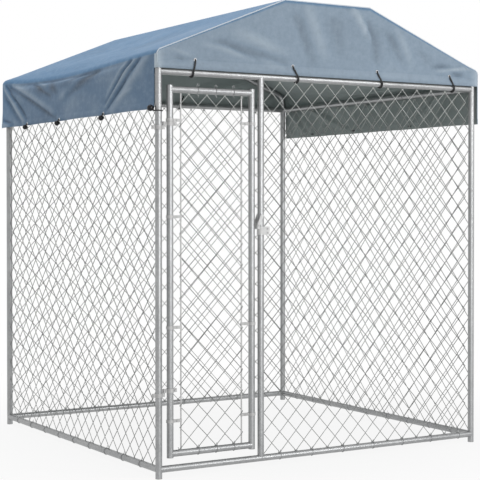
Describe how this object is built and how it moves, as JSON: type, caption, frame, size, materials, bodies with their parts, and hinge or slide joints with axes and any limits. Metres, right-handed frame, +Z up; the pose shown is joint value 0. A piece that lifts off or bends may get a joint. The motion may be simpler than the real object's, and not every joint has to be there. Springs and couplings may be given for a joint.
{
  "type": "outdoor dog kennel run",
  "caption": "Square outdoor dog run: galvanised tube frame, chain-link walls, hinged chain-link gate with fork latch, and a tied blue tarpaulin roof.",
  "frame": {"origin": "middle of the floor area, level with the post feet", "axes": "+X to the right along the front with the gate, +Y from the front to the rear, +Z up"},
  "size_m": [1.9894, 1.952, 2.298],
  "materials": {
    "galvanised_tube": "hot-dip galvanised, satin grey",
    "mesh_wire": "galvanised wire, dull grey",
    "zinc_hardware": "bright zinc-plated pressed steel",
    "tarpaulin": "coated woven polyethylene, blue outside, grey-green inside",
    "eyelet_metal": "plain pressed",
    "elastic_cord": "black braided sleeve",
    "ball_plastic": "gloss black"
  },
  "bodies": {
    "frame": {"post_front_left": "galvanised_tube", "post_front_right": "galvanised_tube", "post_rear_left": "galvanised_tube", "post_rear_right": "galvanised_tube", "door_post": "galvanised_tube", "top_rail_front": "galvanised_tube", "top_rail_rear": "galvanised_tube", "top_rail_left": "galvanised_tube", "top_rail_right": "galvanised_tube", "bottom_rail_front": "galvanised_tube", "bottom_rail_rear": "galvanised_tube", "bottom_rail_left": "galvanised_tube", "bottom_rail_right": "galvanised_tube", "eave_elbow_front_left": "galvanised_tube", "eave_elbow_front_right": "galvanised_tube", "eave_elbow_rear_left": "galvanised_tube", "eave_elbow_rear_right": "galvanised_tube", "rafter_front_left": "galvanised_tube", "rafter_front_right": "galvanised_tube", "rafter_rear_left": "galvanised_tube", "rafter_rear_right": "galvanised_tube", "ridge_elbows_front": "galvanised_tube", "ridge_elbows_rear": "galvanised_tube", "ridge_bar_front": "galvanised_tube", "ridge_bar_rear": "galvanised_tube", "purlin_left": "galvanised_tube", "purlin_right": "galvanised_tube", "mesh_front": "mesh_wire", "mesh_rear": "mesh_wire", "mesh_left": "mesh_wire", "mesh_right": "mesh_wire", "hinge_post_band_top": "zinc_hardware", "hinge_post_band_bottom": "zinc_hardware", "hinge_post_bolts": "zinc_hardware", "latch_clamp": "zinc_hardware", "latch_clamp_bolts": "zinc_hardware", "latch_pivot_pin": "zinc_hardware", "canopy": "tarpaulin", "canopy_eyelets": "eyelet_metal", "gable_cords_front": "elastic_cord", "gable_cords_rear": "elastic_cord", "side_cords_left": "elastic_cord", "side_cords_right": "elastic_cord", "cord_balls_left": "ball_plastic", "cord_balls_right": "ball_plastic"},
    "gate": {"gate_hinge_stile": "galvanised_tube", "gate_latch_stile": "galvanised_tube", "gate_top_tube": "galvanised_tube", "gate_bottom_tube": "galvanised_tube", "gate_bar_hinge_side": "zinc_hardware", "gate_bar_latch_side": "zinc_hardware", "gate_mesh": "mesh_wire", "gate_straps_hinge_side": "zinc_hardware", "gate_straps_latch_side": "zinc_hardware", "gate_strap_bolts": "zinc_hardware", "hinge_gate_band_top": "zinc_hardware", "hinge_gate_band_bottom": "zinc_hardware", "hinge_gate_bolts": "zinc_hardware"},
    "latch_fork": {"latch_fork": "zinc_hardware"}
  },
  "joints": [
    {"name": "gate_hinge", "type": "hinge", "parent": "frame", "child": "gate", "pos_m": [-0.922, -0.95, 1], "axis": [0, 0, 1], "range_deg": [-100, 85]},
    {"name": "latch_pivot", "type": "hinge", "parent": "frame", "child": "latch_fork", "pos_m": [-0.412, -0.95, 1.186], "axis": [0, -1, 0], "range_deg": [0, 112]}
  ]
}
